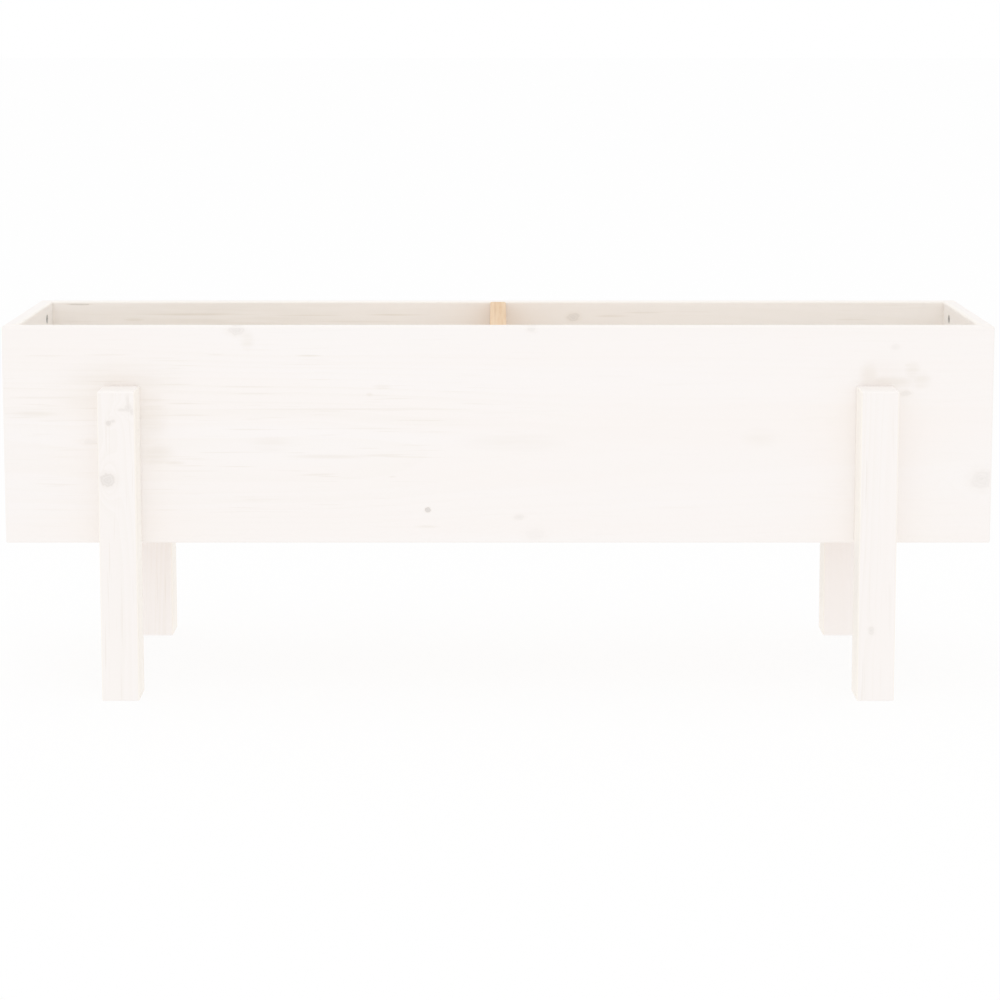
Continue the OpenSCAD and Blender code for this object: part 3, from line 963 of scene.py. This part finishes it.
def wind_thread(shape, core, crest, pitch, top, end, cone_from):
    """Winds a ridge round the core, from the height top down to end. Below cone_from it narrows to end."""
    half = pitch * RIDGE_SHARE
    section = [(core - SUNK, top + half), (crest, top), (core - SUNK, top - half)]
    first = [shape.verts.new((radius * MM, 0, height * MM)) for radius, height in section]
    edges = [shape.edges.new((first[i], first[i - 1])) for i in range(3)]
    turns = (top - end) / pitch
    spin = {"cent": (0, 0, 0), "axis": Z, "dvec": -Z * pitch * MM / STEPS}
    spin.update(angle=-math.tau * turns, steps=round(turns * STEPS))
    before = set(shape.verts) - set(first)
    last = bmesh.ops.spin(shape, geom=first + edges, **spin)["geom_last"]
    shape.faces.new(first)
    shape.faces.new([part for part in last if isinstance(part, bmesh.types.BMVert)])
    for vert in set(shape.verts) - before:
        height = vert.co.z / MM
        fade = min(1, max(0, (top + half - height) / pitch))
        narrow = 1
        if cone_from > end:
            narrow = min(1, max(LEAST_SHARE, (height - end) / (cone_from - end)))
        radius = vert.co.xy.length / MM
        grown = core - SUNK + (radius - core + SUNK) * fade
        vert.co.xy *= grown / radius * narrow


# %% [markdown]
# ### Copies in place
#
# One mesh holds all the copies of a fastener, as the piece that it replaces does. Each copy is turned about
# its axis by chance, as a driver leaves it. Smooth shading with sharp edges above 35 degrees makes the turned
# faces round and keeps the rims crisp.

# %% Handing in a piece
SHARP_ABOVE = math.radians(35)


def set_in(model, kind, stands_for, way, finish):
    """Makes a piece from copies of a fastener, which takes the place of a plain one."""
    moves = stands(stands_for, way, random.Random(stands_for))
    bmesh.ops.recalc_face_normals(model, faces=model.faces)
    single = bpy.data.meshes.new("single")
    model.to_mesh(single)
    copies = bmesh.new()
    for move in moves:
        first = len(copies.verts)
        copies.from_mesh(single)
        copies.verts.ensure_lookup_table()
        bmesh.ops.transform(copies, matrix=move, verts=copies.verts[first:])
    name = f"{kind}_{stands_for}"
    mesh = bpy.data.meshes.new(name)
    copies.to_mesh(mesh)
    mesh.shade_smooth()
    mesh.set_sharp_from_angle(angle=SHARP_ABOVE)
    mesh.materials.append(finish)
    piece = bpy.data.objects.new(name, mesh)
    scene.collection.objects.link(piece)
    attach(piece, "root")
    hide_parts(stands_for)
    print(name, len(moves), "copies of", len(model.faces), "faces")
    for used in (model, copies):
        used.free()
    bpy.data.meshes.remove(single)


# %% [markdown]
# ## Yellow zinc plating
#
# Screws and cam bolts are steel under a few thousandths of a millimetre of zinc, which is dipped until it
# turns yellow. The film is uneven, so it shimmers from straw to a faint rose and green. On a metal, the Base
# Color is the colour of its reflections. Metallic is 1 all over, so it is set on the shader's own socket.

# %% Plating finish
PLATE_STRAW = shade(214, 196, 140)
PLATE_ROSE = shade(210, 182, 136)
PLATE_GREEN = shade(198, 194, 140)
PLATE_DULL = shade(150, 140, 112)
FILM_CELLS = (260, 260, 260)
FILM_ROSE = (0.5, 0.68)
FILM_GREEN = (0.48, 0.32)
SPOT_CELLS = (900, 900, 900)
SPOTS = (0.55, 0.8, 0.0, 0.7)
PLATE_ROUGHNESS = (0.3, 0.75, 0.24, 0.46)
PLATE_RELIEF = 0.012 * MM

PLATED, tree = new_finish("yellow_zinc")
place = node(tree, "TexCoord").outputs["Object"]
film = noise(tree, place, FILM_CELLS, detail=3)
spots = noise(tree, place, SPOT_CELLS, detail=4, seed=3)
colour = glaze(tree, PLATE_STRAW, [
    (ramp(tree, film, *FILM_ROSE), PLATE_ROSE),
    (ramp(tree, film, *FILM_GREEN), PLATE_GREEN),
    (ramp(tree, spots, *SPOTS), PLATE_DULL),
])
height = maths(tree, "MULTIPLY", spots, PLATE_RELIEF)
surface(tree, colour, ramp(tree, spots, *PLATE_ROUGHNESS), height, Metallic=1.0)
print("finish:", PLATED.name)

# %% [markdown]
# ## Screws
#
# All the screws are countersunk wood screws: a flat head with a cross, a 90 degree cone, a plain shank that
# slips through the first piece, and a threaded part with a long point that pulls the second one up. In the
# planter only their heads show. The proportions are the same for all, so one function turns them all, from
# the diameter over the thread and the length.

# %% Turning a wood screw
HEAD_RIM = 0.4
RIM_BEVEL = 0.12
CROSS_REACH = 0.55
CROSS_DEEP = 0.42
SHANK = 0.36
CORE = 0.31
POINT = 1.6
PITCH = 0.45


def wood_screw(diameter, length, plain):
    """A screw with its head up at z = 0. Its plain shank ends at the depth plain, in mm."""
    reach, deep = CROSS_REACH * diameter, CROSS_DEEP * diameter
    shank, core = SHANK * diameter, CORE * diameter
    cone_end = HEAD_RIM + diameter - shank
    point = length - POINT * diameter
    shape = turned([
        *hollow(reach, deep),
        (diameter - RIM_BEVEL, 0), (diameter, -RIM_BEVEL), (diameter, -HEAD_RIM),
        (shank, -cone_end), (shank, -plain), (core, -plain - shank + core),
        (core, -point), (0, -length),
    ])
    press_cross(shape, reach, deep)
    pitch = PITCH * diameter
    wind_thread(shape, core, diameter / 2, pitch, -plain - pitch, -length, -point)
    return shape


# %% [markdown]
# ### Screws in place
#
# Screws hold the legs and battens to the long boards, and the slats to the battens. A table gives their
# diameter, the end of the plain shank and the way they point, and one loop sets them all.

# %% Screws in the legs, battens and slats
SCREWS = {
    "leg_screws": (4.0, 18, outward),
    "batten_screws": (3.5, 12, outward),
    "slat_screws": (3.5, 8, downward),
}

for plain_piece, (diameter, plain, way) in SCREWS.items():
    screw = wood_screw(diameter, max(solid_sides(plain_piece)), plain)
    set_in(screw, "threaded", plain_piece, way, PLATED)

# %% [markdown]
# ## Cam bolts
#
# A cam bolt is driven into the long board until its collar stands on the wood. Its neck and flared head then
# reach into the end board or the brace as far as the cam, which pulls the head as it turns. The bolt is
# turned in the same way as a screw, with a coarser thread, which grips in the soft pine, no cone at its tip,
# and a cross in the head for the driver.

# %% Turning the cam bolts
BOLT = 6.0
BOLT_CORE = 4.2
BOLT_THREAD = 10.0
BOLT_PITCH = 2.4
BOLT_TIP = 1.0
COLLAR = 7.4
COLLAR_HEIGHT = 1.4
BOLT_NECK = 2.6
NECK_LENGTH = 3.1
BOLT_HEAD = 4.6
BOLT_TOP = BOLT_HEAD / 2
HEAD_TAPER = 1.8
HEAD_RIDGE = 0.2
HEAD_FLARE = 1.4
BOLT_CROSS = 0.9
BOLT_CROSS_DEEP = 0.9


def cam_bolt(length):
    """A cam bolt with its head up at z = 0 and its thread below."""
    flare = -HEAD_TAPER - HEAD_FLARE
    neck_end, seat = flare - NECK_LENGTH, BOLT_THREAD - length
    radius, core, tip = BOLT / 2, BOLT_CORE / 2, -length
    shape = turned([
        *hollow(BOLT_CROSS, BOLT_CROSS_DEEP),
        (BOLT_TOP / 2, 0), (BOLT_HEAD / 2, -HEAD_TAPER + HEAD_RIDGE), (BOLT_HEAD / 2, -HEAD_TAPER),
        (BOLT_NECK / 2, flare), (BOLT_NECK / 2, neck_end),
        (radius - RIM_BEVEL, neck_end), (radius, neck_end - RIM_BEVEL), (radius, seat + COLLAR_HEIGHT),
        (COLLAR / 2 - RIM_BEVEL, seat + COLLAR_HEIGHT), (COLLAR / 2, seat + COLLAR_HEIGHT - RIM_BEVEL),
        (COLLAR / 2, seat), (core, seat), (core, tip + BOLT_TIP), (core - BOLT_TIP, tip), (0, tip),
    ])
    press_cross(shape, BOLT_CROSS, BOLT_CROSS_DEEP)
    wind_thread(shape, core, radius, BOLT_PITCH, seat - BOLT_PITCH / 2, tip + BOLT_PITCH / 2, tip)
    return shape


for plain_piece in ("corner_cam_bolts", "brace_cam_bolts"):
    _, length, _ = solid_sides(plain_piece)
    set_in(cam_bolt(length), "threaded", plain_piece, outward, PLATED)

# %% [markdown]
# ## Beech
#
# The dowels are beech, an even, pale brown wood with fine lines and short dark flecks. All of them lie along
# Y, so a noise with few cells that way draws both.

# %% Beech finish
BEECH_PALE = shade(214, 176, 134)
BEECH_WARM = shade(198, 154, 112)
BEECH_FLECK = shade(168, 122, 84)
ALONG_Y = Vector((1.0, 0.06, 1.0))
LINE_CELLS = ALONG_Y * 900
FLECK_CELLS = ALONG_Y * 3600
LINES = (0.35, 0.65)
FLECKS = (0.58, 0.7, 0.0, 0.8)
BEECH_ROUGHNESS = (0.3, 0.7, 0.5, 0.68)
BEECH_RELIEF = 0.04 * MM

BEECH, tree = new_finish("beech")
place = node(tree, "TexCoord").outputs["Object"]
lines = noise(tree, place, LINE_CELLS, detail=3)
flecks = noise(tree, place, FLECK_CELLS, detail=2, seed=5)
colour = glaze(tree, BEECH_PALE, [
    (ramp(tree, lines, *LINES), BEECH_WARM),
    (ramp(tree, flecks, *FLECKS), BEECH_FLECK),
])
height = maths(tree, "MULTIPLY", lines, BEECH_RELIEF)
surface(tree, colour, ramp(tree, lines, *BEECH_ROUGHNESS), height, IOR=WOOD_IOR)
print("finish:", BEECH.name)

# %% [markdown]
# ## Dowels
#
# A dowel keeps each joint from turning about its bolt. Its flutes let the air and the spare glue out. It is
# turned with 48 steps, and every second line of vertices is then pressed in, which leaves 24 flutes. The
# bevelled ends stay round.

# %% Turning the dowels
DOWEL_BEVEL = 1.0
FLUTE_STEPS = 48
FLUTE_DEPTH = 0.3
FLUTE_END = 1.5 * DOWEL_BEVEL
SIDE_END = 2 * DOWEL_BEVEL


def fluted_dowel(diameter, length):
    """A dowel with its top at z = 0."""
    radius, inner = diameter / 2, diameter / 2 - DOWEL_BEVEL
    heights = (-DOWEL_BEVEL, -SIDE_END, SIDE_END - length, DOWEL_BEVEL - length)
    wall = [(radius, height) for height in heights]
    shape = turned([(0, 0), (inner, 0), *wall, (inner, -length), (0, -length)], FLUTE_STEPS)
    for vert in shape.verts:
        angle = polar(vert)[1]
        on_side = FLUTE_END - length < vert.co.z / MM < -FLUTE_END
        if on_side and round(angle / math.tau * FLUTE_STEPS) % 2:
            vert.co.xy *= 1 - FLUTE_DEPTH / radius
    return shape


for plain_piece in ("corner_dowels", "brace_dowels"):
    _, length, diameter = solid_sides(plain_piece)
    set_in(fluted_dowel(diameter, length), "fluted", plain_piece, outward, BEECH)

# %% [markdown]
# ## Cams
#
# The cams are die-cast zinc, and their shape, with the port for the bolt's head, the slot and the driver
# cross, is already exact. They get the dull grey skin of a casting, with fine grains, a few brighter rubbed
# spots and darker ones where the surface has begun to turn.

# %% Zinc finish
ZINC_GREY = shade(176, 177, 176)
ZINC_BRIGHT = shade(202, 202, 199)
ZINC_DARK = shade(128, 129, 131)
CLOUD_CELLS = (420, 420, 420)
CLOUD_BRIGHT = (0.55, 0.72)
CLOUD_DARK = (0.45, 0.28)
CASTING_CELLS = (4200, 4200, 4200)
ZINC_ROUGHNESS = (0.3, 0.7, 0.58, 0.4)
CASTING_RELIEF = 0.02 * MM

ZINC, tree = new_finish("cast_zinc")
place = node(tree, "TexCoord").outputs["Object"]
cloud = noise(tree, place, CLOUD_CELLS, detail=3)
colour = glaze(tree, ZINC_GREY, [
    (ramp(tree, cloud, *CLOUD_BRIGHT), ZINC_BRIGHT),
    (ramp(tree, cloud, *CLOUD_DARK), ZINC_DARK),
])
grains = noise(tree, place, CASTING_CELLS, detail=2, seed=7)
height = maths(tree, "MULTIPLY", grains, CASTING_RELIEF)
surface(tree, colour, ramp(tree, cloud, *ZINC_ROUGHNESS), height, Metallic=1.0)
for piece in ("corner_cams", "brace_cams"):
    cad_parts[piece].material_slots[0].material = ZINC
print("finish:", ZINC.name)

# %% [markdown]
# ## Measuring the result
#
# The box of the construction and the box of the dressed planter are written side by side, to show whether
# the looks outgrow the construction.

# %% Boxes
boxes = {"cad": cad_box, "visual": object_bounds()}
for name, box in boxes.items():
    print(name, [[round(side / MM, 2) for side in corner] for corner in box])
